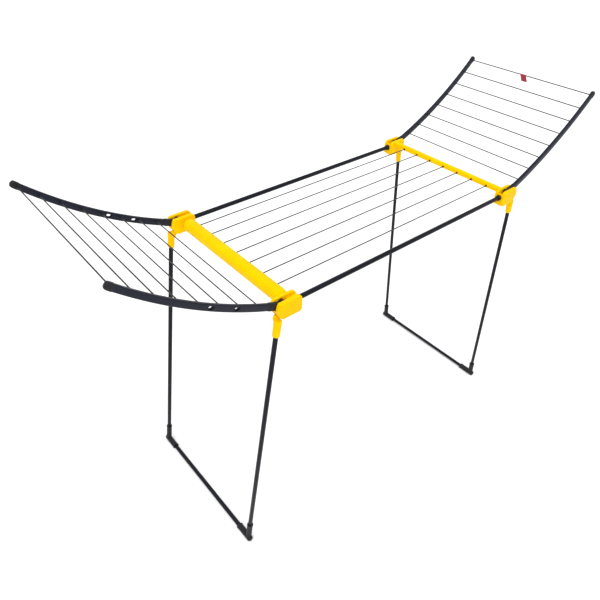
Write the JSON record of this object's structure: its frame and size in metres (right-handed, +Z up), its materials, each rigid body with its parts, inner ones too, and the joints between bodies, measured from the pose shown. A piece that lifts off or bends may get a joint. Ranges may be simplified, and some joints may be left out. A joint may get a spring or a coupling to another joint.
{
  "type": "folding clothes airer",
  "caption": "Floor-standing clothes airer: a wired bed on two fold-under leg frames, with a curved wired wing hinged up from each end.",
  "frame": {"origin": "on the floor, midway between the two wing tips and between the front and back rails", "axes": "+X along the bed from the near wing (with the large round housing) to the far wing, +Y from the front rail to the back rail, +Z up"},
  "size_m": [1.9252, 0.596, 1.277],
  "materials": {
    "yellow_plastic": "satin injection-moulded",
    "black_tube": "satin powder-coated steel tube, blue-black",
    "black_plastic": "fine moulded grain",
    "line_wire": "drawn steel wire, clear coated",
    "hinge_pin": "zinc plated",
    "tag_label": "soft vinyl, plain, no lettering"
  },
  "bodies": {
    "bed": {"line_housing": "yellow_plastic", "far_crossbar": "yellow_plastic", "bed_wire_1": "line_wire", "bed_wire_2": "line_wire", "bed_wire_3": "line_wire", "bed_wire_4": "line_wire", "bed_wire_5": "line_wire", "bed_wire_6": "line_wire", "bed_wire_7": "line_wire", "front_rail": "black_tube", "front_rail_bush": "black_plastic", "back_rail": "black_tube", "back_rail_bush": "black_plastic", "near_front_knuckle": "yellow_plastic", "near_front_wing_pin": "hinge_pin", "near_front_leg_pin": "hinge_pin", "near_back_knuckle": "yellow_plastic", "near_back_wing_pin": "hinge_pin", "near_back_leg_pin": "hinge_pin", "far_front_knuckle": "yellow_plastic", "far_front_wing_pin": "hinge_pin", "far_front_leg_pin": "hinge_pin", "far_back_knuckle": "yellow_plastic", "far_back_wing_pin": "hinge_pin", "far_back_leg_pin": "hinge_pin"},
    "near_wing": {"near_front_wing_arm": "black_tube", "near_back_wing_arm": "black_tube", "near_wing_wire_1": "line_wire", "near_wing_wire_2": "line_wire", "near_wing_wire_3": "line_wire", "near_wing_wire_4": "line_wire", "near_wing_wire_5": "line_wire", "near_wing_wire_6": "line_wire", "near_wing_wire_7": "line_wire", "near_wing_wire_8": "line_wire"},
    "far_wing": {"far_front_wing_arm": "black_tube", "far_back_wing_arm": "black_tube", "far_wing_wire_1": "line_wire", "far_wing_wire_2": "line_wire", "far_wing_wire_3": "line_wire", "far_wing_wire_4": "line_wire", "far_wing_wire_5": "line_wire", "far_wing_wire_6": "line_wire", "far_wing_wire_7": "line_wire", "far_wing_wire_8": "line_wire", "wire_tag": "tag_label"},
    "near_legs": {"near_front_leg_sleeve": "yellow_plastic", "near_front_leg_tube": "black_tube", "near_front_foot": "black_plastic", "near_back_leg_sleeve": "yellow_plastic", "near_back_leg_tube": "black_tube", "near_back_foot": "black_plastic", "near_floor_bar": "black_tube"},
    "far_legs": {"far_front_leg_sleeve": "yellow_plastic", "far_front_leg_tube": "black_tube", "far_front_foot": "black_plastic", "far_back_leg_sleeve": "yellow_plastic", "far_back_leg_tube": "black_tube", "far_back_foot": "black_plastic", "far_floor_bar": "black_tube"}
  },
  "joints": [
    {"name": "near_wing_hinge", "type": "hinge", "parent": "bed", "child": "near_wing", "pos_m": [-0.512, 0, 1.008], "axis": [0, 1, 0], "range_deg": [0, 147.3]},
    {"name": "far_wing_hinge", "type": "hinge", "parent": "bed", "child": "far_wing", "pos_m": [0.512, 0, 1.008], "axis": [0, -1, 0], "range_deg": [0, 139.3]},
    {"name": "near_legs_hinge", "type": "hinge", "parent": "bed", "child": "near_legs", "pos_m": [-0.512, 0, 0.971], "axis": [0, -1, 0], "range_deg": [0, 97.9]},
    {"name": "far_legs_hinge", "type": "hinge", "parent": "bed", "child": "far_legs", "pos_m": [0.512, 0, 0.971], "axis": [0, 1, 0], "range_deg": [0, 94.9]}
  ]
}
